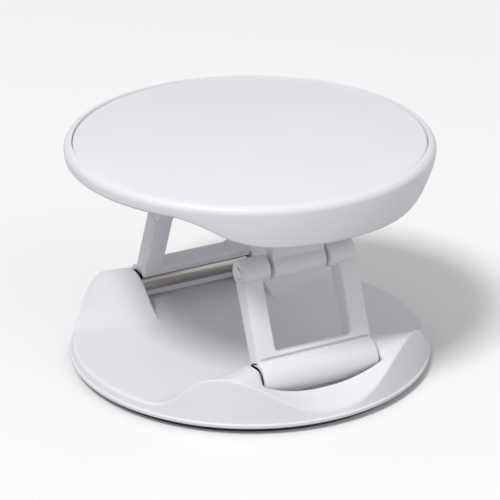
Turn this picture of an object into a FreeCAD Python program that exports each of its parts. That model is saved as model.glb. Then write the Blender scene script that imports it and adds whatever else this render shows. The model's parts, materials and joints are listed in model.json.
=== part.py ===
import FreeCAD, Part
import math
import os

# Folding phone holder: a round base on an adhesive pad, two legs that fold inward at a
# middle hinge, and a round disc on top. Millimetres, +Z up, origin at the centre of the
# bottom face, hinge axes along X, front towards -Y.

# Driving dimensions: base
pad_diameter = 40.0
pad_thickness = 0.8
base_diameter = 42.0
base_lip_height = 0.5
base_lip_step = 0.15
base_wall_draft = 0.9
hump_height = 5.6
floor_thickness = 1.4
floor_half_width = 7.2
hump_start = 15.5
valley_flare = 3.2
scoop_height = 2.6
scoop_rim_height = 0.2
scoop_root_step = 1.0
scoop_root_flat = 6.2
scoop_full_step = 2.2
scoop_full_flat = 0.5
scoop_full_reach = 14.5

# Driving dimensions: hinges and legs
base_hinge_offset = 15.0
lower_link_length = 12.0
upper_link_length = 7.6
rest_lean = 22.5
link_width = 14.4
rib_width = 2.4
rib_thickness = 2.2
window_bottom = 2.7
window_corner = 0.6
eye_gap = 7.4
mid_knuckle_width = 6.6
mid_knuckle_diameter = 3.0
base_barrel_diameter = 4.2
barrel_lip_height = 1.2
upper_plate_thickness = 1.8
upper_barrel_width = 10.0
upper_barrel_diameter = 3.0
upper_neck_length = 2.0

# Driving dimensions: disc
disc_diameter = 42.0
disc_plate_thickness = 1.9
disc_wall_depth = 5.0
disc_rim_round = 0.9
disc_wall_draft = 0.35
disc_floor_margin = 0.2
disc_wall_start = 20.4
lug_width = 2.6
top_plate_diameter = 40.0
top_plate_thickness = 1.0
top_plate_sink = 0.12

# Driving dimensions: pins
base_pin_diameter = 2.6
base_pin_grip = 2.8
mid_pin_diameter = 1.4
mid_pin_proud = 0.05
disc_pin_diameter = 1.6
disc_pin_proud = 0.05

# Clearances
running_clearance = 0.06
side_clearance = 0.3
barrel_clearance = 0.3
disc_bore_clearance = 0.2
plate_gap = 0.08

# Worked out from the driving dimensions
base_bottom = pad_thickness
base_floor = base_bottom + floor_thickness
base_top = base_bottom + hump_height
base_axis_z = base_floor + base_barrel_diameter / 2 + barrel_clearance
lean = math.radians(rest_lean)
mid_y = base_hinge_offset - lower_link_length * math.sin(lean)
mid_z = base_axis_z + lower_link_length * math.cos(lean)
disc_hinge_offset = base_hinge_offset - lower_link_length + upper_link_length
upper_lean = math.asin((disc_hinge_offset - mid_y) / upper_link_length)
disc_axis_z = mid_z + upper_link_length * math.cos(upper_lean)
disc_under = disc_axis_z + upper_barrel_diameter / 2 + barrel_clearance
disc_top = disc_under + disc_plate_thickness
base_radius = base_diameter / 2
disc_radius = disc_diameter / 2
half_width = link_width / 2
bay_half = half_width + side_clearance
bay_front = base_hinge_offset + base_barrel_diameter / 2 + barrel_clearance
lug_gap_half = upper_barrel_width / 2 + side_clearance
disc_floor_half_width = disc_hinge_offset + upper_barrel_diameter / 2 + barrel_clearance + disc_floor_margin
cut_margin = 2.0
tolerance = 1e-6
vec = FreeCAD.Vector
X_AXIS = vec(1, 0, 0)
Z_AXIS = vec(0, 0, 1)


def block(x0, x1, y0, y1, z0, z1):
    """Box between two corners."""
    return Part.makeBox(x1 - x0, y1 - y0, z1 - z0, vec(x0, y0, z0))


def rod(half_length, radius, y=0.0, z=0.0):
    """Cylinder along X, centred on x = 0."""
    return Part.makeCylinder(radius, 2 * half_length, vec(-half_length, y, z), X_AXIS)


def turned(shape, axis, degrees):
    """Copy of a shape turned about an axis through the origin."""
    copy = shape.copy()
    copy.rotate(vec(0, 0, 0), axis, degrees)
    return copy


def moved(shape, x, y, z):
    """Copy of a shape moved by an offset."""
    copy = shape.copy()
    copy.translate(vec(x, y, z))
    return copy


def s_curve(start, end, place):
    """Two tangent arcs of one radius between two points, level at both ends."""
    (u0, v0), (u1, v1) = start, end
    run, rise = u1 - u0, v1 - v0
    radius = (run * run + rise * rise) / (4 * abs(rise))
    half_turn = math.atan2(abs(rise), abs(run))
    step = math.copysign(radius * math.sin(half_turn), run)
    lift = math.copysign(radius * (1 - math.cos(half_turn)), rise)
    middle = ((u0 + u1) / 2, (v0 + v1) / 2)
    first = Part.Arc(place(u0, v0), place(u0 + step, v0 + lift), place(*middle))
    second = Part.Arc(place(*middle), place(u1 - step, v1 - lift), place(u1, v1))
    return [first.toShape(), second.toShape()]


def line(a, b, place):
    """Straight edge between two profile points."""
    return Part.LineSegment(place(*a), place(*b)).toShape()


def valley_wire(flat, reach, low, high, far, place):
    """Closed profile of a valley: a flat bottom, an S-curve up each side, closed at far."""
    edges = [line((-flat, low), (flat, low), place)]
    edges += s_curve((flat, low), (reach, high), place)
    edges += [line((reach, high), (reach, far), place)]
    edges += [line((reach, far), (-reach, far), place)]
    edges += [line((-reach, far), (-reach, high), place)]
    edges += s_curve((-reach, high), (-flat, low), place)
    return Part.Wire(edges)


def side_valley():
    """Valley between the humps: straight between the hinge bays, flared towards both sides."""
    far = base_top + cut_margin

    def section(flare, x):
        """Profile across the valley at one x."""
        return valley_wire(floor_half_width + flare, hump_start + flare, base_floor, base_top, far,
                           lambda u, v: vec(x, u, v))

    straight = Part.Face(section(0, -bay_half)).extrude(vec(2 * bay_half, 0, 0))
    for end in (-1, 1):
        inner = section(0, end * bay_half)
        outer = section(valley_flare, end * base_radius)
        straight = straight.fuse(Part.makeLoft([inner, outer], True, True))
    return straight


def scoop():
    """Front scoop: from the hinge bay's width it widens fast, then slopes down to the rim."""
    far = base_top + cut_margin

    def section(flat, reach, height, y):
        """Profile across the scoop at one y."""
        return valley_wire(flat, reach, base_bottom + height, base_top, far, lambda u, v: vec(u, -y, v))

    root = section(scoop_root_flat, bay_half, scoop_height, base_hinge_offset + scoop_root_step)
    full = section(scoop_full_flat, scoop_full_reach, scoop_height, base_hinge_offset + scoop_full_step)
    rim = section(scoop_full_flat, scoop_full_reach, scoop_rim_height, base_radius + cut_margin)
    return Part.makeLoft([root, full], True, True).fuse(Part.makeLoft([full, rim], True, True))


def hinge_bay():
    """Room between the humps for the legs' barrels, and for the legs when they fold down."""
    return block(-bay_half, bay_half, -bay_front, bay_front, base_floor, base_top + cut_margin)


def both_ends(shape):
    """A front shape and its copy turned half way round for the rear."""
    return [shape, turned(shape, Z_AXIS, 180)]


def build_base():
    """Moulded base: drafted wall, side valley, scoops, hinge bays and pin bores."""
    lip = Part.makeCylinder(base_radius, base_lip_height, vec(0, 0, base_bottom))
    foot_radius = base_radius - base_lip_step
    wall = Part.makeCone(foot_radius, foot_radius - base_wall_draft, hump_height, vec(0, 0, base_bottom))
    bore = rod(base_pin_half(), base_pin_diameter / 2, -base_hinge_offset, base_axis_z)
    cuts = [side_valley(), hinge_bay()] + both_ends(scoop()) + both_ends(bore)
    body = wall.fuse(lip)
    for cut in cuts:
        body = body.cut(cut)
    return body.removeSplitter()


def base_pin_half():
    """Half the length of a base pin: the leg, the gap and the grip in each hump."""
    return bay_half + base_pin_grip


def build_lower_link():
    """Lower leg half at its own pivot: a flat frame with a window, two eyes and a hooked barrel."""
    half_rib = rib_thickness / 2
    reach = half_width + cut_margin
    top = lower_link_length + cut_margin
    frame = block(-half_width, half_width, -half_rib, half_rib, 0, lower_link_length)
    window_half = half_width - rib_width
    window = block(-window_half, window_half, -cut_margin, cut_margin, window_bottom, top)
    corners = [e for e in window.Edges if is_window_corner(e)]
    frame = frame.cut(window.makeFillet(window_corner, corners))
    eyes = rod(half_width, mid_knuckle_diameter / 2, 0, lower_link_length)
    eyes = eyes.cut(block(-eye_gap / 2, eye_gap / 2, -cut_margin, cut_margin, window_bottom, top))
    frame = frame.fuse([eyes, rod(half_width, base_barrel_diameter / 2)])
    frame = frame.cut(rod(reach, base_pin_diameter / 2 + running_clearance))
    frame = frame.cut(rod(reach, mid_pin_diameter / 2, 0, lower_link_length))
    opening = block(-reach, reach, 0, base_barrel_diameter, -base_barrel_diameter, barrel_lip_height)
    frame = frame.cut(turned(opening, X_AXIS, rest_lean))
    return frame.removeSplitter()


def is_window_corner(edge):
    """True for the window's two lower corner edges, which run along Y."""
    box = edge.BoundBox
    across = max(box.XLength, box.ZLength)
    return across < tolerance and abs(box.ZMin - window_bottom) < tolerance


def build_upper_link():
    """Upper leg half at its own pivot: middle knuckle, plate and the disc barrel."""
    half_plate = upper_plate_thickness / 2
    half_knuckle = mid_knuckle_width / 2
    knuckle_radius = mid_knuckle_diameter / 2
    barrel_radius = upper_barrel_diameter / 2
    plate = block(-half_knuckle, half_knuckle, -half_plate, half_plate, 0, upper_link_length)
    neck = block(-upper_barrel_width / 2, upper_barrel_width / 2, -half_plate, half_plate,
                 upper_link_length - upper_neck_length, upper_link_length)
    body = plate.fuse([neck, rod(half_knuckle, knuckle_radius),
                       rod(upper_barrel_width / 2, barrel_radius, 0, upper_link_length)])
    body = body.cut(rod(half_width, mid_pin_diameter / 2 + running_clearance))
    body = body.cut(rod(half_width, disc_pin_diameter / 2 + disc_bore_clearance, 0, upper_link_length))
    return body.removeSplitter()


def place_lower(shape):
    """A lower leg half from its own pivot to its place at rest, front leg."""
    return moved(turned(shape, X_AXIS, -rest_lean), 0, -base_hinge_offset, base_axis_z)


def place_upper(shape):
    """An upper leg half from its own pivot to its place at rest, front leg."""
    return moved(turned(shape, X_AXIS, math.degrees(upper_lean)), 0, -mid_y, mid_z)


def disc_profile():
    """Half section of the disc: drafted wall and rounded rim, turned about Z."""
    bottom = disc_top - disc_wall_depth
    foot_radius = disc_radius - disc_wall_draft
    shoulder = disc_top - disc_rim_round
    diagonal = disc_rim_round * (1 - math.sqrt(0.5))
    place = lambda u, v: vec(u, 0, v)
    edges = [line((0, bottom), (foot_radius, bottom), place)]
    edges += [line((foot_radius, bottom), (disc_radius, shoulder), place)]
    edges += [Part.Arc(place(disc_radius, shoulder), place(disc_radius - diagonal, disc_top - diagonal),
                       place(disc_radius - disc_rim_round, disc_top)).toShape()]
    edges += [line((disc_radius - disc_rim_round, disc_top), (0, disc_top), place)]
    edges += [line((0, disc_top), (0, bottom), place)]
    return Part.Face(Part.Wire(edges))


def disc_lug(side):
    """Lug that carries one end of a disc pin, round at its foot."""
    x0 = min(side * lug_gap_half, side * (lug_gap_half + lug_width))
    radius = upper_barrel_diameter / 2
    foot = Part.makeCylinder(radius, lug_width, vec(x0, -disc_hinge_offset, disc_axis_z), X_AXIS)
    neck = block(x0, x0 + lug_width, -disc_hinge_offset - radius, -disc_hinge_offset + radius,
                 disc_axis_z, disc_under)
    return foot.fuse(neck)


def build_disc():
    """Disc: rim, hanging front and rear walls, plate seat, lugs and pin bores."""
    body = disc_profile().revolve(vec(0, 0, 0), Z_AXIS, 360)
    low = disc_top - disc_wall_depth
    wire = valley_wire(disc_floor_half_width, disc_wall_start, disc_under, low, low - cut_margin,
                       lambda u, v: vec(-disc_diameter, u, v))
    body = body.cut(Part.Face(wire).extrude(vec(2 * disc_diameter, 0, 0)))
    seat_floor = disc_top - top_plate_thickness - top_plate_sink
    seat = Part.makeCylinder(top_plate_diameter / 2 + plate_gap, disc_plate_thickness, vec(0, 0, seat_floor))
    body = body.cut(seat)
    for side in (-1, 1):
        body = body.fuse(both_ends(disc_lug(side)))
    bore = rod(disc_pin_half(), disc_pin_diameter / 2, -disc_hinge_offset, disc_axis_z)
    for cut in both_ends(bore):
        body = body.cut(cut)
    return body.removeSplitter()


def disc_pin_half():
    """Half the length of a disc pin: the barrel, the gaps, the lugs and a little more."""
    return lug_gap_half + lug_width + disc_pin_proud


def build_top_plate():
    """Flat inlay that sits in the disc's seat."""
    floor = disc_top - top_plate_thickness - top_plate_sink
    return Part.makeCylinder(top_plate_diameter / 2, top_plate_thickness, vec(0, 0, floor))


def build_pins():
    """Front hinge pins: base, middle and disc."""
    base_pin = rod(base_pin_half(), base_pin_diameter / 2, -base_hinge_offset, base_axis_z)
    mid_pin = rod(half_width + mid_pin_proud, mid_pin_diameter / 2, -mid_y, mid_z)
    disc_pin = rod(disc_pin_half(), disc_pin_diameter / 2, -disc_hinge_offset, disc_axis_z)
    return {"base_pin": base_pin, "mid_pin": mid_pin, "disc_pin": disc_pin}


def main():
    """Build every piece and write one file for each."""
    pieces = {
        "adhesive_pad": Part.makeCylinder(pad_diameter / 2, pad_thickness),
        "base": build_base(),
        "disc_body": build_disc(),
        "top_plate": build_top_plate(),
    }
    legs = {"lower_link": place_lower(build_lower_link()), "upper_link": place_upper(build_upper_link())}
    legs.update(build_pins())
    for name, shape in legs.items():
        front, rear = both_ends(shape)
        pieces[name + "_front"] = front
        pieces[name + "_rear"] = rear
    os.makedirs("parts", exist_ok=True)
    for name, shape in pieces.items():
        shape.exportStep("parts/" + name + ".step")
        print(name, len(shape.Solids), round(shape.Volume, 2), shape.isValid())


main()
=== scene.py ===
"""Looks of a folding phone holder: a round base, two folding legs and a round disc on top.

Shapes are worked out in millimetres and turned into metres when a mesh is made. Hinge axes run
along X. The front leg stands on the -Y side, and the rear leg is the front leg turned half way
round the Z axis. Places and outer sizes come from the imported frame.
"""

import json
import logging
import math
from dataclasses import dataclass
from enum import Enum

import bmesh
import bpy
import numpy as np
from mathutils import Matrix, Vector

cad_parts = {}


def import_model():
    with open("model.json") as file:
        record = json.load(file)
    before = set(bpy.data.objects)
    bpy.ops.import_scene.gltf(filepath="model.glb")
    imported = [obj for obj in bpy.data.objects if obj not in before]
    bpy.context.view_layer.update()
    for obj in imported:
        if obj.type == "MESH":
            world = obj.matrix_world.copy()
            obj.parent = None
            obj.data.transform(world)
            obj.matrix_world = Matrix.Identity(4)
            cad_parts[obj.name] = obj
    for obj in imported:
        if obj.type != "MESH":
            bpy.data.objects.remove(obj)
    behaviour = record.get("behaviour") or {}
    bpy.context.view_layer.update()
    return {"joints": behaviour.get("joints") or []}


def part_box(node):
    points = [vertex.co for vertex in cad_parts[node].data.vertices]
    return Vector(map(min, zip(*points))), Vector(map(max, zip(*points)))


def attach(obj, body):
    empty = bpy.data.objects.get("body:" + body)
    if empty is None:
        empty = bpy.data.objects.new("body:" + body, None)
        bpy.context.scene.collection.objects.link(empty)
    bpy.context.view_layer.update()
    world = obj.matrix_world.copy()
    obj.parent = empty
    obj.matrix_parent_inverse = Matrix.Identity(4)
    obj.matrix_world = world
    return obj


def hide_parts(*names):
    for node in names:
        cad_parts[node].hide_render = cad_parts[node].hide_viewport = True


MM = 0.001
WELD_DISTANCE = 2e-7
CREASE_ANGLE = math.radians(38.0)
AROUND = 192
BARREL_POINTS = 60
BORE_POINTS = 36
KNUCKLE_POINTS = 36
EYE_POINTS = 49
CORNER_POINTS = 8
DISC_RIM_STEPS = 12
STRAIGHT_DOWN = 270.0
TONE_RAMP = (0.3, 0.7)
log = logging.getLogger("phone_holder")
Colour = tuple[float, float, float]
Xyz = tuple[float, float, float]


class Slot(Enum):
    """Material slots of the record."""

    SHELL = "white_shell"
    PLATE = "white_plate"
    FOAM = "adhesive_foam"
    STEEL = "steel_pin"


class End(Enum):
    """Ends of the holder, with the factor that carries a front shape to that end."""

    FRONT = 1.0
    REAR = -1.0


class Along(Enum):
    """Axis that a prism is carried along, as the order of (run, across, up) in X, Y, Z."""

    X = (0, 1, 2)
    Y = (1, 0, 2)


@dataclass
class Shell:
    """One closed skin: points in millimetres, quads, and flat faces that close its ends."""

    points: np.ndarray
    quads: np.ndarray
    caps: list[np.ndarray]

    def at(self, end: End) -> "Shell":
        """The shell at its front place, or turned half way round Z to the rear."""
        return Shell(self.points * np.array([end.value, end.value, 1.0]), self.quads, self.caps)

    def leaned(self, degrees: float, pivot: np.ndarray) -> "Shell":
        """Turns the shell about the X axis and carries its own origin to a pivot.

        Args:
            degrees: Turn about X, positive from Y towards Z.
            pivot: Place of the shell's origin, in millimetres.

        Returns:
            The turned and moved shell.
        """
        angle = math.radians(degrees)
        cos, sin = math.cos(angle), math.sin(angle)
        turn = np.array([[1.0, 0.0, 0.0], [0.0, cos, -sin], [0.0, sin, cos]])
        return Shell(self.points @ turn.T + pivot, self.quads, self.caps)


def grid_quads(rows: int, columns: int, wrapped: bool) -> np.ndarray:
    """Corner numbers of the quads of a grid of points stored row by row.

    Args:
        rows: Number of rows.
        columns: Points in each row.
        wrapped: Whether the last point of a row joins the first.

    Returns:
        Array of shape (quads, 4).
    """
    row = np.arange(rows - 1)[:, None]
    column = np.arange(columns if wrapped else columns - 1)[None, :]
    following = (column + 1) % columns
    near = row * columns
    far = near + columns
    corners = [near + column, near + following, far + following, far + column]
    return np.stack(corners, axis=-1).reshape(-1, 4)


def loft(rings: np.ndarray) -> Shell:
    """Skin over a stack of rings, each joined to the next, with the two end rings closed flat.

    Args:
        rings: Array of shape (rings, points around, 3).

    Returns:
        The closed skin.
    """
    count, around = rings.shape[:2]
    first = np.arange(around)
    last = (count - 1) * around + first
    return Shell(rings.reshape(-1, 3), grid_quads(count, around, True), [first[::-1], last])


def quarter_round(radius: float, steps: int = 5) -> tuple[np.ndarray, np.ndarray]:
    """Quarter circle from an end face to a side face.

    Args:
        radius: Radius of the rounding.
        steps: Points along it.

    Returns:
        Depth below the side face and distance from the end face, along the rounding.
    """
    angle = np.linspace(0.0, math.pi / 2, steps)
    return radius * (1 - np.sin(angle)), radius * (1 - np.cos(angle))


def turned_solid(radius: float, start: float, end: float, edge: float, along_x: bool = False) -> Shell:
    """Cylinder with rounded end edges: a rounded profile turned about Z, or about X.

    Args:
        radius: Radius of the cylinder.
        start: Lower end on its axis.
        end: Upper end on its axis.
        edge: Radius of the rounded edges.
        along_x: Whether the axis is X instead of Z.

    Returns:
        The closed skin.
    """
    depth, run = quarter_round(edge)
    reach = radius - np.concatenate([depth, depth[::-1]])
    place = np.concatenate([start + run, end - run[::-1]])
    angle = np.linspace(0.0, 2 * math.pi, AROUND, endpoint=False)
    across = reach[:, None] * np.cos(angle)
    up = reach[:, None] * np.sin(angle)
    axis = np.broadcast_to(place[:, None], across.shape)
    order = (axis, across, up) if along_x else (across, up, axis)
    return loft(np.stack(order, axis=-1))


def arc(
    centre: tuple[float, float], radius: float, start: float, end: float, points: int = 24
) -> np.ndarray:
    """Points on a circular arc.

    Args:
        centre: Centre of the circle.
        radius: Radius of the circle.
        start: First angle in degrees.
        end: Last angle in degrees, past 360 or falling where the arc needs it.
        points: Number of points.

    Returns:
        Array of shape (points, 2).
    """
    angle = np.radians(np.linspace(start, end, points))
    return np.stack([centre[0] + radius * np.cos(angle), centre[1] + radius * np.sin(angle)], axis=-1)


def rounded_prism(
    outline: np.ndarray, start: float, end: float, edge: float, along: Along = Along.X
) -> Shell:
    """Prism with rounded end edges: the outline shrinks over a quarter circle at each end.

    Each corner of the outline slides inwards along the mitre of its two edges, which is the sum of
    their unit normals divided by one plus the normals' dot product.

    Args:
        outline: Corners anticlockwise, of shape (corners, 2), across and up.
        start: First end on the prism's axis.
        end: Last end on the prism's axis.
        edge: Radius of the rounded edges.
        along: Axis that the outline is carried along.

    Returns:
        The closed skin.
    """
    step = np.roll(outline, -1, axis=0) - outline
    normal = np.stack([-step[:, 1], step[:, 0]], axis=-1)
    normal /= np.linalg.norm(normal, axis=1, keepdims=True)
    before = np.roll(normal, 1, axis=0)
    mitre = (normal + before) / (1 + np.sum(normal * before, axis=1, keepdims=True))
    depth, run = quarter_round(edge)
    depths = np.concatenate([depth, depth[::-1]])
    places = np.concatenate([start + run, end - run[::-1]])
    flat = outline[None] + depths[:, None, None] * mitre[None]
    axis = np.broadcast_to(places[:, None, None], flat.shape[:2] + (1,))
    rings = np.concatenate([axis, flat], axis=-1)
    return loft(rings[..., list(along.value)])


def s_rise(distance: np.ndarray, run: np.ndarray | float) -> np.ndarray:
    """Smooth rise from 0 to 1 over a run, made of two parabolas that meet half way up."""
    share = np.clip(distance / run, 0.0, 1.0)
    return np.where(share < 0.5, 2 * share**2, 1 - 2 * (1 - share) ** 2)


def soft_min(first: np.ndarray, second: np.ndarray, blend: float) -> np.ndarray:
    """Lower of two heights, with the crease between them filled over a blend height."""
    share = np.clip(0.5 + 0.5 * (second - first) / blend, 0.0, 1.0)
    return second + (first - second) * share - blend * share * (1 - share)


def edge_drop(distance: np.ndarray, radius: np.ndarray | float) -> np.ndarray:
    """Drop of a quarter round at a distance in from an edge: the radius at the edge, 0 past it."""
    short = np.clip(radius - distance, 0.0, radius)
    return radius - np.sqrt(radius**2 - short**2)


@dataclass
class RoundField:
    """Grid over a round plan, with close rows and columns where a straight-sided bay ends.

    Columns stand at x = radius * sin(t), so they crowd at the two sides. In each column the rows run
    to the rim, and beyond the bay's width they shrink with the column's half length.
    """

    radius: float
    bay_half: float
    bay_front: float
    columns: int = 150
    inner_rows: int = 60
    outer_rows: int = 18
    edge_steps: tuple[float, ...] = (-0.02, 0.0, 0.03, 0.08, 0.16, 0.25)

    def plan(self) -> tuple[np.ndarray, np.ndarray]:
        """Works out the grid.

        Returns:
            The x and y of every point, each of shape (columns, rows).
        """
        steps = np.array(self.edge_steps)
        even = self.radius * np.sin(np.linspace(-1, 1, self.columns) * math.pi / 2)
        close = self.bay_half + steps
        x = np.unique(np.concatenate([even, close, -close]))
        half = np.sqrt(np.clip(self.radius**2 - x**2, 0.0, None))
        shrink = np.minimum(1.0, half / math.sqrt(self.radius**2 - self.bay_half**2))[:, None]
        inner = np.linspace(0, 1, self.inner_rows, endpoint=False) * (self.bay_front + steps[0]) * shrink
        break_rows = (self.bay_front + steps) * shrink
        share = np.sin(np.linspace(0, 1, self.outer_rows + 1)[1:] * math.pi / 2)
        last = break_rows[:, -1:]
        outer = last + (half[:, None] - last) * share
        forward = np.concatenate([inner, break_rows, outer], axis=1)
        y = np.concatenate([-forward[:, :0:-1], forward], axis=1)
        return np.broadcast_to(x[:, None], y.shape).copy(), y

    def in_bay(self, x: np.ndarray, y: np.ndarray) -> np.ndarray:
        """Tells which points of the plan lie inside the bay."""
        slack = abs(self.edge_steps[0]) / 2
        return (np.abs(x) < self.bay_half - slack) & (np.abs(y) < self.bay_front - slack)

    def bay_distance(self, x: np.ndarray, y: np.ndarray) -> np.ndarray:
        """Distance of a point of the plan outside the bay's sides."""
        return np.maximum(np.abs(x) - self.bay_half, np.abs(y) - self.bay_front)

    def shell(self, points: np.ndarray, radii: np.ndarray, heights: np.ndarray) -> Shell:
        """Closes a field with a wall of rings below or above its rim, and a flat face.

        Args:
            points: Field of shape (columns, rows, 3).
            radii: Radius of each further ring.
            heights: Height of each further ring.

        Returns:
            The closed skin.
        """
        columns, rows = points.shape[:2]
        rim = np.concatenate([points[:, -1], points[-2:0:-1, 0]])
        number = np.arange(columns * rows).reshape(columns, rows)
        rim_number = np.concatenate([number[:, -1], number[-2:0:-1, 0]])
        way = rim[:, :2] / np.linalg.norm(rim[:, :2], axis=1, keepdims=True)
        flat = radii[:, None, None] * way[None]
        level = np.broadcast_to(heights[:, None, None], flat.shape[:2] + (1,))
        wall = np.concatenate([flat, level], axis=-1)
        around = len(rim)
        start = columns * rows
        added_number = start + np.arange(len(radii) * around).reshape(-1, around)
        wall_number = np.concatenate([rim_number[None], added_number])
        wall_quads = wall_number.ravel()[grid_quads(len(wall_number), around, True)]
        quads = np.concatenate([grid_quads(columns, rows, False), wall_quads])
        return Shell(np.concatenate([points.reshape(-1, 3), wall.reshape(-1, 3)]), quads, [wall_number[-1]])


def skin_object(name: str, shells: list[Shell]) -> bpy.types.Object:
    """Makes one object of closed shells, with welded seams, outward faces and smooth shading.

    Args:
        name: Name of the object.
        shells: Its skins, in millimetres.

    Returns:
        The object, at the origin.
    """
    starts = np.cumsum([0] + [len(shell.points) for shell in shells])
    points = np.concatenate([shell.points for shell in shells]) * MM
    faces = [face for shell, start in zip(shells, starts) for face in (shell.quads + start).tolist()]
    faces += [(cap + start).tolist() for shell, start in zip(shells, starts) for cap in shell.caps]
    mesh = bpy.data.meshes.new(name)
    mesh.from_pydata(points.tolist(), [], faces)
    work = bmesh.new()
    work.from_mesh(mesh)
    bmesh.ops.remove_doubles(work, verts=work.verts, dist=WELD_DISTANCE)
    bmesh.ops.recalc_face_normals(work, faces=work.faces)
    work.to_mesh(mesh)
    work.free()
    mesh.polygons.foreach_set("use_smooth", np.ones(len(mesh.polygons), dtype=bool))
    mesh.set_sharp_from_angle(angle=CREASE_ANGLE)
    piece = bpy.data.objects.new(name, mesh)
    bpy.context.scene.collection.objects.link(piece)
    return piece


class Nodes:
    """Node tree of a material, with short calls to add and join nodes."""

    def __init__(self, name: str) -> None:
        """Starts a material with its shader and the object's own coordinates.

        Args:
            name: Name of the material.
        """
        self.material = bpy.data.materials.new(name)
        self.material.use_nodes = True
        self.tree = self.material.node_tree
        self.shader = self.tree.nodes["Principled BSDF"]
        self.place = self.tree.nodes.new("ShaderNodeTexCoord").outputs["Object"]

    def noise(self, scale: float, detail: float, stretch: Xyz) -> bpy.types.NodeSocket:
        """Noise over the object's own coordinates.

        Args:
            scale: Noise cells to the metre.
            detail: Finer octaves.
            stretch: Factor on each axis of the coordinates.

        Returns:
            The noise value, 0 to 1.
        """
        mapping = self.tree.nodes.new("ShaderNodeMapping")
        mapping.inputs["Scale"].default_value = stretch
        self.tree.links.new(self.place, mapping.inputs["Vector"])
        node = self.tree.nodes.new("ShaderNodeTexNoise")
        node.inputs["Scale"].default_value = scale
        node.inputs["Detail"].default_value = detail
        self.tree.links.new(mapping.outputs["Vector"], node.inputs["Vector"])
        return node.outputs["Fac"]

    def ramp(self, value: bpy.types.NodeSocket, low: Colour, high: Colour) -> None:
        """Colours the shader between two tones by a noise value.

        Args:
            value: The noise value.
            low: Tone at the low end of the ramp.
            high: Tone at its high end.
        """
        node = self.tree.nodes.new("ShaderNodeValToRGB")
        for element, position, colour in zip(node.color_ramp.elements, TONE_RAMP, (low, high)):
            element.position = position
            element.color = (*colour, 1.0)
        self.tree.links.new(value, node.inputs["Fac"])
        self.tree.links.new(node.outputs["Color"], self.shader.inputs["Base Color"])

    def roughness(self, value: bpy.types.NodeSocket, low: float, high: float) -> None:
        """Spreads the shader's roughness between two levels by a noise value.

        Args:
            value: The noise value.
            low: Roughness where the noise is 0.
            high: Roughness where the noise is 1.
        """
        node = self.tree.nodes.new("ShaderNodeMapRange")
        node.inputs["To Min"].default_value = low
        node.inputs["To Max"].default_value = high
        self.tree.links.new(value, node.inputs["Value"])
        self.tree.links.new(node.outputs["Result"], self.shader.inputs["Roughness"])

    def bump(self, value: bpy.types.NodeSocket, depth_mm: float, strength: float) -> None:
        """Raises a fine relief from a noise value.

        Args:
            value: The noise value.
            depth_mm: Height of the relief in millimetres.
            strength: Share of the relief that shows, 0 to 1.
        """
        node = self.tree.nodes.new("ShaderNodeBump")
        node.inputs["Strength"].default_value = strength
        node.inputs["Distance"].default_value = depth_mm * MM
        self.tree.links.new(value, node.inputs["Height"])
        self.tree.links.new(node.outputs["Normal"], self.shader.inputs["Normal"])


@dataclass(frozen=True)
class Finish:
    """A procedural finish: two close tones, a spread of gloss and a fine relief."""

    slot: Slot
    low: Colour
    high: Colour
    roughness: tuple[float, float]
    grain_scale: float
    grain_depth: float
    grain_strength: float
    metallic: float = 0.0
    stretch: Xyz = (1.0, 1.0, 1.0)
    tone_scale: float = 90.0
    tone_detail: float = 3.0
    grain_detail: float = 2.0

    def material(self) -> bpy.types.Material:
        """Makes the finish as a material.

        Returns:
            The material, named after its slot.
        """
        nodes = Nodes(self.slot.value)
        nodes.shader.inputs["Metallic"].default_value = self.metallic
        nodes.ramp(nodes.noise(self.tone_scale, self.tone_detail, self.stretch), self.low, self.high)
        grain = nodes.noise(self.grain_scale, self.grain_detail, self.stretch)
        nodes.roughness(grain, *self.roughness)
        nodes.bump(grain, self.grain_depth, self.grain_strength)
        return nodes.material


FINISHES = (
    Finish(
        slot=Slot.SHELL, low=(0.775, 0.77, 0.81), high=(0.80, 0.795, 0.835), roughness=(0.40, 0.48),
        grain_scale=5200.0, grain_depth=0.012, grain_strength=0.12,
    ),
    Finish(
        slot=Slot.PLATE, low=(0.785, 0.78, 0.82), high=(0.81, 0.805, 0.845), roughness=(0.34, 0.42),
        grain_scale=6500.0, grain_depth=0.008, grain_strength=0.10,
    ),
    Finish(
        slot=Slot.FOAM, low=(0.030, 0.030, 0.033), high=(0.060, 0.060, 0.065), roughness=(0.75, 0.9),
        grain_scale=2600.0, grain_depth=0.06, grain_strength=0.6,
    ),
    Finish(
        slot=Slot.STEEL, low=(0.43, 0.405, 0.395), high=(0.54, 0.515, 0.50), roughness=(0.22, 0.38),
        grain_scale=2400.0, grain_depth=0.006, grain_strength=0.25,
        metallic=1.0, stretch=(0.02, 1.0, 1.0), tone_scale=1800.0,
    ),
)


class Dresser:
    """Puts finished pieces on the frame: material, body, slot and the node each stands for."""

    def __init__(self) -> None:
        """Makes the materials once."""
        self.materials = {finish.slot: finish.material() for finish in FINISHES}

    def dress(self, piece: bpy.types.Object, slot: Slot, body: str, node: str) -> None:
        """Dresses one piece and lets it ride on a body in place of a node.

        Args:
            piece: The new object.
            slot: Finish of the piece.
            body: Body of the frame that carries it.
            node: Node of the frame that it stands for.
        """
        piece.data.materials.append(self.materials[slot])
        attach(piece, body)
        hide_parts(node)
        log.info("%s rides on %s for %s, %d faces", piece.name, body, node, len(piece.data.polygons))


def box_mm(node: str) -> tuple[np.ndarray, np.ndarray]:
    """Lowest and highest corner of a node of the frame, in millimetres."""
    low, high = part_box(node)
    return np.array(low) / MM, np.array(high) / MM


def pivot_mm(frame: dict, joint: str) -> np.ndarray:
    """Place of a joint of the frame, in millimetres."""
    return next(np.array(j["pos_m"]) / MM for j in frame["joints"] if j["name"] == joint)


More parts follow.
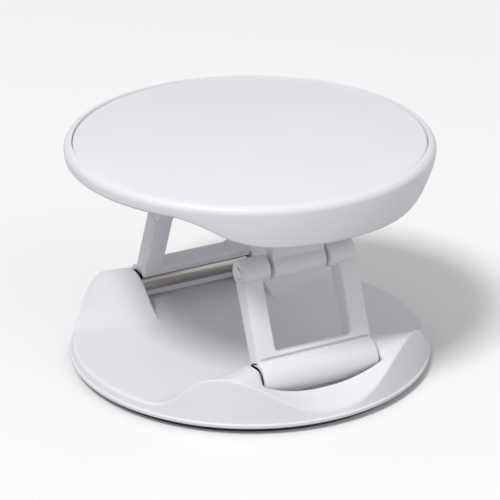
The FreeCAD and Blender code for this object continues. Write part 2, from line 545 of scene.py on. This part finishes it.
@dataclass
class Base:
    """Moulded base with four humps, a side valley, two scoops and a leg bay, on a foam pad."""

    hinge_offset: float
    lip_height: float = 0.5
    lip_step: float = 0.15
    lip_round: float = 0.14
    wall_draft: float = 0.9
    floor: float = 1.4
    floor_half: float = 7.2
    hump_start: float = 15.5
    valley_flare: float = 3.2
    scoop_height: float = 2.6
    scoop_slope: float = 0.414
    scoop_root: tuple[float, float] = (6.2, 7.5)
    scoop_root_step: float = 1.0
    scoop_full: tuple[float, float] = (0.5, 14.5)
    scoop_full_step: float = 2.2
    bay_half: float = 7.5
    bay_front: float = 17.4
    rim_round: float = 0.4
    least_rim_round: float = 0.05
    seam_step: float = 0.02
    bay_round: float = 0.25
    crest_blend: float = 0.7
    draft_power: float = 20.0
    pad_edge: float = 0.1
    pin_edge: float = 0.15

    def height(self, x: np.ndarray, y: np.ndarray, field: RoundField, hump: float) -> np.ndarray:
        """Height of the base's top above its bottom.

        The valley is flat to floor_half and rises in y to the humps, and beyond the bay's width it
        flares outwards. The scoop is flat and rises in x, its flat and reach slide from the root to their
        full sizes, and from there it slopes down to the rim. The top is the lower of the two, dropped
        to the floor in the bay and rounded along the bay's edges and the rim.

        Args:
            x: Points across.
            y: Points along.
            field: Plan that the points belong to.
            hump: Height of the humps.

        Returns:
            Heights in millimetres.
        """
        across, along = np.abs(x), np.abs(y)
        beside_bay = np.clip((across - self.bay_half) / (field.radius - self.bay_half), 0.0, 1.0)
        flare = self.valley_flare * beside_bay
        rise = s_rise(along - self.floor_half - flare, self.hump_start - self.floor_half)
        valley = self.floor + (hump - self.floor) * rise
        root_y = self.hinge_offset + self.scoop_root_step
        share = np.clip((along - root_y) / (self.scoop_full_step - self.scoop_root_step), 0.0, 1.0)
        flat, reach = (a + (b - a) * share for a, b in zip(self.scoop_root, self.scoop_full))
        past_full = np.maximum(along - self.hinge_offset - self.scoop_full_step, 0.0)
        low = self.scoop_height - self.scoop_slope * past_full
        scoop = low + (hump - low) * s_rise(across - flat, reach - flat)
        scoop = np.where(along < root_y, hump, scoop)
        top = soft_min(valley, scoop, self.crest_blend)
        outside = field.bay_distance(x, y)
        rounding = np.clip(top - self.floor, 0.0, self.bay_round)
        beside = ~field.in_bay(x, y)
        top = top - np.where(beside, edge_drop(np.maximum(outside, 0.0), rounding), 0.0)
        top = np.where(beside, top, np.minimum(top, self.floor))
        least = self.least_rim_round
        rim = np.clip(top - self.lip_height - least, least, self.rim_round)
        return top - edge_drop(np.maximum(field.radius - np.hypot(x, y), 0.0), rim)

    def moulding(self) -> Shell:
        """Skin of the moulded base: rounded top field, drafted wall, rounded lip and flat bottom.

        Returns:
            The closed skin.
        """
        low, high = box_mm("base")
        hump = high[2] - low[2]
        foot = high[0] - self.lip_step
        field = RoundField(foot, self.bay_half, self.bay_front)
        x, y = field.plan()
        z = self.height(x, y, field, hump)
        pull = self.wall_draft * z / hump / foot * (np.hypot(x, y) / foot) ** self.draft_power
        points = np.stack([x * (1 - pull), y * (1 - pull), z + low[2]], axis=-1)
        depth, run = quarter_round(self.lip_round)
        lip_radii = high[0] - depth
        radii = np.concatenate([[foot - self.seam_step], lip_radii, lip_radii[::-1]])
        levels = np.concatenate([[self.lip_height], self.lip_height - run, run[::-1]])
        return field.shell(points, radii, levels + low[2])

    def build(self, dresser: Dresser) -> None:
        """Builds and dresses the base, its pad and its two pins.

        Args:
            dresser: Puts the pieces on the frame.
        """
        dresser.dress(skin_object("moulded_base", [self.moulding()]), Slot.SHELL, "base", "base")
        low, high = box_mm("adhesive_pad")
        pad = turned_solid(high[0], low[2], high[2], self.pad_edge)
        dresser.dress(skin_object("foam_pad", [pad]), Slot.FOAM, "base", "adhesive_pad")
        for end in End:
            tag = end.name.lower()
            pin = skin_object("base_hinge_pin_" + tag, [pin_shell("base_pin_" + tag, self.pin_edge)])
            dresser.dress(pin, Slot.STEEL, "base", "base_pin_" + tag)


def pin_shell(node: str, edge: float) -> Shell:
    """Round pin along X that fills the box of a node, with rounded ends.

    Args:
        node: Node of the frame.
        edge: Radius of the rounded ends.

    Returns:
        The closed skin.
    """
    low, high = box_mm(node)
    centre = (low + high) / 2
    half = (high - low) / 2
    shell = turned_solid(half[2], -half[0], half[0], edge, along_x=True)
    shell.points += centre
    return shell


def length_and_lean(start: np.ndarray, end: np.ndarray) -> tuple[float, float]:
    """Distance from one pivot to the next, and the lean of that line in degrees, positive towards +Y."""
    step = end - start
    return float(np.linalg.norm(step)), math.degrees(math.atan2(step[1], step[2]))


@dataclass
class Leg:
    """One folding leg: a lower frame with a window and a hooked barrel, and a flat upper half."""

    end: End
    base_pivot: np.ndarray
    mid_pivot: np.ndarray
    disc_pivot: np.ndarray
    width: float = 14.4
    rib_width: float = 2.4
    rib_thickness: float = 2.2
    window_bottom: float = 2.7
    window_corner: float = 0.6
    eye_gap: float = 7.4
    neck_top: float = 2.3
    frame_lap: float = 0.56
    barrel_radius: float = 2.1
    barrel_bore: float = 1.36
    barrel_lip: float = 1.2
    knuckle_radius: float = 1.5
    plate_thickness: float = 1.8
    plate_width: float = 6.6
    neck_width: float = 10.0
    neck_length: float = 2.0
    edge: float = 0.28
    small_edge: float = 0.18
    slack: float = 0.05
    pin_edge: float = 0.12

    def __post_init__(self) -> None:
        """Works out the length and lean of the two halves from the leg's pivots."""
        self.lower_length, self.lean = length_and_lean(self.base_pivot, self.mid_pivot)
        self.upper_length, self.upper_lean = length_and_lean(self.mid_pivot, self.disc_pivot)

    def barrel_outline(self) -> np.ndarray:
        """Side view of the barrel: a hook round the pin, from a lip above the opening to straight below.

        Returns:
            Corners anticlockwise, in the leg's own frame.
        """
        outer = self.lean + math.degrees(math.asin(self.barrel_lip / self.barrel_radius))
        inner = self.lean + math.degrees(math.asin(self.barrel_lip / self.barrel_bore))
        below = self.lean + STRAIGHT_DOWN
        outside = arc((0.0, 0.0), self.barrel_radius, outer, below, BARREL_POINTS)
        inside = arc((0.0, 0.0), self.barrel_bore, below, inner, BORE_POINTS)
        return np.concatenate([outside, inside])

    def neck_outline(self) -> np.ndarray:
        """Side view of the neck between barrel and frame: its foot slants along the barrel's opening.

        Returns:
            Corners anticlockwise, in the leg's own frame.
        """
        half = self.rib_thickness / 2
        slant = math.radians(self.lean)
        levels = [(self.barrel_lip + y * math.sin(slant)) / math.cos(slant) for y in (0.0, half)]
        outer_foot = self.barrel_bore + self.slack
        foot = [(-half, outer_foot), (0.0, levels[0] + self.slack), (half, levels[1] + self.slack)]
        return np.array([(half, self.neck_top), (-half, self.neck_top)] + foot)

    def frame_outline(self) -> np.ndarray:
        """Front view of the frame: two ribs and a foot bar round a window with round lower corners.

        Returns:
            Corners anticlockwise, in the leg's own frame.
        """
        outer = self.width / 2
        window = outer - self.rib_width
        corner = window - self.window_corner
        level = self.window_bottom + self.window_corner
        right = arc((corner, level), self.window_corner, 0.0, -90.0, CORNER_POINTS)
        left = arc((-corner, level), self.window_corner, -90.0, -180.0, CORNER_POINTS)
        foot = self.neck_top - self.frame_lap
        top = self.lower_length - math.sqrt(self.knuckle_radius**2 - (self.rib_thickness / 2) ** 2)
        start = [(-outer, foot), (outer, foot), (outer, top), (window, top)]
        return np.concatenate([start, right, left, [(-window, top), (-outer, top)]])

    def lower_shells(self) -> list[Shell]:
        """Frame, neck, barrel and eyes of the lower half, at its own pivot.

        Returns:
            The closed skins.
        """
        half = self.width / 2
        inset = half - self.slack
        thick = self.rib_thickness / 2
        eye = arc((0.0, self.lower_length), self.knuckle_radius, 0.0, 360.0, EYE_POINTS)[:-1]
        shells = [rounded_prism(self.barrel_outline(), -half, half, self.small_edge)]
        shells += [rounded_prism(self.neck_outline(), -inset, inset, self.small_edge)]
        shells += [rounded_prism(self.frame_outline(), -thick, thick, self.edge, Along.Y)]
        for side in (-1, 1):
            span = sorted((side * inset, side * self.eye_gap / 2))
            shells += [rounded_prism(eye, *span, self.edge)]
        return shells

    def upper_shells(self) -> list[Shell]:
        """Middle knuckle, plate and disc barrel of the upper half, at its own pivot.

        Returns:
            The closed skins.
        """
        half = self.plate_thickness / 2
        bite = math.degrees(math.acos(half / self.knuckle_radius))
        top = arc((0.0, self.upper_length), self.knuckle_radius, -bite, 180 + bite, KNUCKLE_POINTS)
        foot = arc((0.0, 0.0), self.knuckle_radius, 180 - bite, 360 + bite, KNUCKLE_POINTS)
        plate = np.concatenate([top, foot])
        neck_foot = self.upper_length - self.neck_length
        neck = np.concatenate([top, [(-half, neck_foot), (half, neck_foot)]])
        plate_half = self.plate_width / 2
        neck_half = self.neck_width / 2
        return [
            rounded_prism(plate, -plate_half, plate_half, self.small_edge),
            rounded_prism(neck, -neck_half, neck_half, self.small_edge),
        ]

    def build(self, dresser: Dresser) -> None:
        """Builds and dresses the leg's two halves and its middle pin.

        Args:
            dresser: Puts the pieces on the frame.
        """
        tag = self.end.name.lower()
        lower = [s.leaned(-self.lean, self.base_pivot).at(self.end) for s in self.lower_shells()]
        upper = [s.leaned(-self.upper_lean, self.mid_pivot).at(self.end) for s in self.upper_shells()]
        lower_half = skin_object("lower_leg_" + tag, lower)
        dresser.dress(lower_half, Slot.SHELL, "lower_" + tag, "lower_link_" + tag)
        upper_half = skin_object("upper_leg_" + tag, upper)
        dresser.dress(upper_half, Slot.SHELL, "upper_" + tag, "upper_link_" + tag)
        pin = skin_object("middle_pin_" + tag, [pin_shell("mid_pin_" + tag, self.pin_edge)])
        dresser.dress(pin, Slot.STEEL, "lower_" + tag, "mid_pin_" + tag)


@dataclass
class Disc:
    """Round disc with a rounded rim, walls hanging at front and rear, lugs and a flat inlay."""

    hinge: np.ndarray
    plate: float = 1.9
    wall_depth: float = 5.0
    rim_round: float = 0.9
    wall_draft: float = 0.35
    floor_margin: float = 0.5
    wall_start: float = 20.4
    lug_gap_half: float = 5.3
    lug_width: float = 2.6
    lug_radius: float = 1.5
    lug_sink: float = 0.3
    seat_gap: float = 0.08
    seat_lip: float = 0.05
    edge: float = 0.4
    lug_edge: float = 0.2
    inlay_edge: float = 0.3
    draft_power: float = 20.0
    pin_edge: float = 0.12

    def moulding(self) -> Shell:
        """Skin of the disc: hanging underside, drafted wall, rounded rim and the inlay's seat.

        The underside is level to just past the hinge barrels and falls in y to the wall's foot. Its rim
        is rounded, and the wall leans in by the draft towards its foot.

        Returns:
            The closed skin.
        """
        high = box_mm("disc_body")[1]
        top, radius = high[2], high[0]
        under = top - self.plate
        foot = self.foot_level()
        shoulder = top - self.rim_round
        level_half = abs(self.hinge[1]) + self.lug_radius + self.floor_margin
        field = RoundField(radius, self.lug_gap_half, level_half)
        x, y = field.plan()
        fall = (under - foot) * s_rise(np.abs(y) - level_half, self.wall_start - level_half)
        z = under - fall + edge_drop(np.maximum(radius - np.hypot(x, y), 0.0), self.edge)
        lean = self.wall_draft * (shoulder - z) / (shoulder - foot) / radius
        pull = lean * (np.hypot(x, y) / radius) ** self.draft_power
        points = np.stack([x * (1 - pull), y * (1 - pull), z], axis=-1)
        seat_floor = box_mm("top_plate")[0][2]
        seat = box_mm("top_plate")[1][0] + self.seat_gap
        depth, run = quarter_round(self.rim_round, DISC_RIM_STEPS)
        radii = np.concatenate([radius - run, [seat, seat]])
        levels = np.concatenate([top - depth, [top - self.seat_lip, seat_floor]])
        return field.shell(points, radii, levels)

    def foot_level(self) -> float:
        """Level of the hanging walls' lower edge."""
        return box_mm("disc_body")[1][2] - self.wall_depth

    def lugs(self) -> list[Shell]:
        """Four lugs that carry the disc pins: round at the foot, run up into the disc's plate.

        Returns:
            The closed skins.
        """
        under = box_mm("disc_body")[1][2] - self.plate
        drop = under - self.hinge[2] + self.lug_sink
        round_foot = arc((0.0, 0.0), self.lug_radius, 180.0, 360.0)
        outline = np.concatenate([round_foot, [(self.lug_radius, drop), (-self.lug_radius, drop)]])
        shells = []
        for side in (-1, 1):
            span = sorted((side * self.lug_gap_half, side * (self.lug_gap_half + self.lug_width)))
            lug = rounded_prism(outline, *span, self.lug_edge).leaned(0.0, self.hinge)
            shells += [lug.at(End.FRONT), lug.at(End.REAR)]
        return shells

    def build(self, dresser: Dresser) -> None:
        """Builds and dresses the disc, its inlay and its two pins.

        Args:
            dresser: Puts the pieces on the frame.
        """
        disc = skin_object("moulded_disc", [self.moulding()] + self.lugs())
        dresser.dress(disc, Slot.SHELL, "disc", "disc_body")
        low, high = box_mm("top_plate")
        inlay = turned_solid(high[0], low[2], high[2], self.inlay_edge)
        dresser.dress(skin_object("disc_inlay", [inlay]), Slot.PLATE, "disc", "top_plate")
        for end in End:
            tag = end.name.lower()
            pin = skin_object("disc_hinge_pin_" + tag, [pin_shell("disc_pin_" + tag, self.pin_edge)])
            dresser.dress(pin, Slot.STEEL, "disc", "disc_pin_" + tag)


@dataclass
class Studio:
    """Pale floor, soft light and the camera, with places in millimetres."""

    target: Xyz = (0.0, 0.0, 13.0)
    azimuth: float = -28.5
    elevation: float = 23.7
    distance: float = 295.0
    lens: float = 185.0
    floor_size: float = 4000.0
    floor_colour: Colour = (0.92, 0.92, 0.925)
    bounce_colour: Colour = (0.38, 0.38, 0.39)
    floor_roughness: float = 0.9
    floor_specular: float = 0.1
    key_from: Xyz = (-13.5, -7.35, 23.5)
    key_distance: float = 1400.0
    key_size: float = 300.0
    key_power: float = 12.4
    fill_from: Xyz = (0.35, -1.0, 0.55)
    fill_distance: float = 600.0
    fill_size: float = 500.0
    fill_power: float = 0.55
    world_light: float = 0.47

    def lamp(self, name: str, way: Xyz, distance: float, size: float, power: float) -> None:
        """Adds a square area light that looks at the target.

        Args:
            name: Name of the light.
            way: Direction from the target to the light.
            distance: Distance from the target.
            size: Side of the square.
            power: Power in watts.
        """
        light = bpy.data.lights.new(name, "AREA")
        light.size = size * MM
        light.energy = power
        lamp = bpy.data.objects.new(name, light)
        direction = Vector(way).normalized()
        lamp.location = (Vector(self.target) + direction * distance) * MM
        lamp.rotation_euler = direction.to_track_quat("Z", "Y").to_euler()
        bpy.context.scene.collection.objects.link(lamp)

    def floor(self) -> None:
        """Lays a large pale floor at the bottom of the object."""
        half = self.floor_size / 2 * MM
        mesh = bpy.data.meshes.new("floor")
        corners = [(-half, -half, 0.0), (half, -half, 0.0), (half, half, 0.0), (-half, half, 0.0)]
        mesh.from_pydata(corners, [], [(0, 1, 2, 3)])
        mesh.materials.append(self.paper())
        floor = bpy.data.objects.new("floor", mesh)
        bpy.context.scene.collection.objects.link(floor)

    def paper(self) -> bpy.types.Material:
        """Floor paper: pale where it is seen or mirrored, darker where it only throws light back.

        Returns:
            The material.
        """
        material = bpy.data.materials.new("floor_paper")
        material.use_nodes = True
        tree = material.node_tree
        shader = tree.nodes["Principled BSDF"]
        path = tree.nodes.new("ShaderNodeLightPath")
        tone = tree.nodes.new("ShaderNodeMix")
        tone.data_type = "RGBA"
        tone.inputs["A"].default_value = (*self.bounce_colour, 1.0)
        tone.inputs["B"].default_value = (*self.floor_colour, 1.0)
        seen = path.outputs["Is Camera Ray"]
        for ray in ("Is Glossy Ray", "Is Transmission Ray"):
            either = tree.nodes.new("ShaderNodeMath")
            either.operation = "MAXIMUM"
            tree.links.new(seen, either.inputs[0])
            tree.links.new(path.outputs[ray], either.inputs[1])
            seen = either.outputs["Value"]
        tree.links.new(seen, tone.inputs["Factor"])
        tree.links.new(tone.outputs["Result"], shader.inputs["Base Color"])
        shader.inputs["Roughness"].default_value = self.floor_roughness
        shader.inputs["Specular IOR Level"].default_value = self.floor_specular
        return material

    def camera(self) -> None:
        """Places the camera at the viewing angle."""
        lens = bpy.data.cameras.new("camera")
        lens.lens = self.lens
        camera = bpy.data.objects.new("camera", lens)
        turn, rise = math.radians(self.azimuth), math.radians(self.elevation)
        flat = math.cos(rise)
        direction = Vector((flat * math.sin(turn), -flat * math.cos(turn), math.sin(rise)))
        camera.location = (Vector(self.target) + direction * self.distance) * MM
        camera.rotation_euler = direction.to_track_quat("Z", "Y").to_euler()
        bpy.context.scene.collection.objects.link(camera)
        bpy.context.scene.camera = camera

    def world(self) -> None:
        """Sets even white surroundings and the standard view."""
        scene = bpy.context.scene
        scene.view_settings.view_transform = "Standard"
        scene.world = bpy.data.worlds.new("studio")
        scene.world.use_nodes = True
        background = scene.world.node_tree.nodes["Background"]
        background.inputs["Color"].default_value = (1.0, 1.0, 1.0, 1.0)
        background.inputs["Strength"].default_value = self.world_light

    def build(self) -> None:
        """Builds the studio."""
        self.floor()
        self.lamp("key", self.key_from, self.key_distance, self.key_size, self.key_power)
        self.lamp("fill", self.fill_from, self.fill_distance, self.fill_size, self.fill_power)
        self.camera()
        self.world()


def main() -> None:
    """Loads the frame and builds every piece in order."""
    logging.basicConfig(level=logging.INFO)
    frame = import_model()
    base_pivot = pivot_mm(frame, "front_leg_fold")
    mid_pivot = pivot_mm(frame, "front_knee")
    disc_pivot = pivot_mm(frame, "disc_hinge")
    dresser = Dresser()
    Base(hinge_offset=-base_pivot[1]).build(dresser)
    for end in End:
        Leg(end, base_pivot, mid_pivot, disc_pivot).build(dresser)
    Disc(hinge=disc_pivot).build(dresser)
    Studio().build()


if __name__ == "__main__":
    main()
